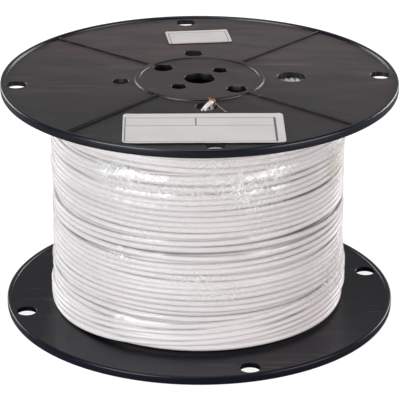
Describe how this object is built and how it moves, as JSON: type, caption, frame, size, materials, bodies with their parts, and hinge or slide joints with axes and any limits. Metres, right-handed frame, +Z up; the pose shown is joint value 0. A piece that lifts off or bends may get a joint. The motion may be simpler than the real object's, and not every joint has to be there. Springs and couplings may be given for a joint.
{
  "type": "reel of electrical cable",
  "caption": "Flanged black plastic reel wound full of white jacketed electrical cable under clear stretch film, with a central arbor hole and drive, start and tie holes in both flanges.",
  "frame": {"origin": "on the floor, under the reel's axis, at the level of the bottom flange's rim", "axes": "+Z up along the reel's axis; -Y is the side that faces the viewer of the picture; +X to the viewer's right"},
  "size_m": [0.2666, 0.2666, 0.1662],
  "materials": {
    "black_plastic": "moulded black polystyrene with a soft sheen, scuffed",
    "grey_board": "dull grey wound board",
    "white_jacket": "smooth white extruded vinyl jacket",
    "clear_film": "clear glossy stretch film with wrinkles",
    "label_paper": "white paper with thin grey rules and no lettering"
  },
  "bodies": {
    "root": {"top_flange": "black_plastic", "bottom_flange": "black_plastic", "barrel": "grey_board", "cable_winding": "white_jacket", "stretch_film": "clear_film", "cable_tail": "white_jacket", "large_label": "label_paper", "small_label": "label_paper"}
  },
  "joints": []
}
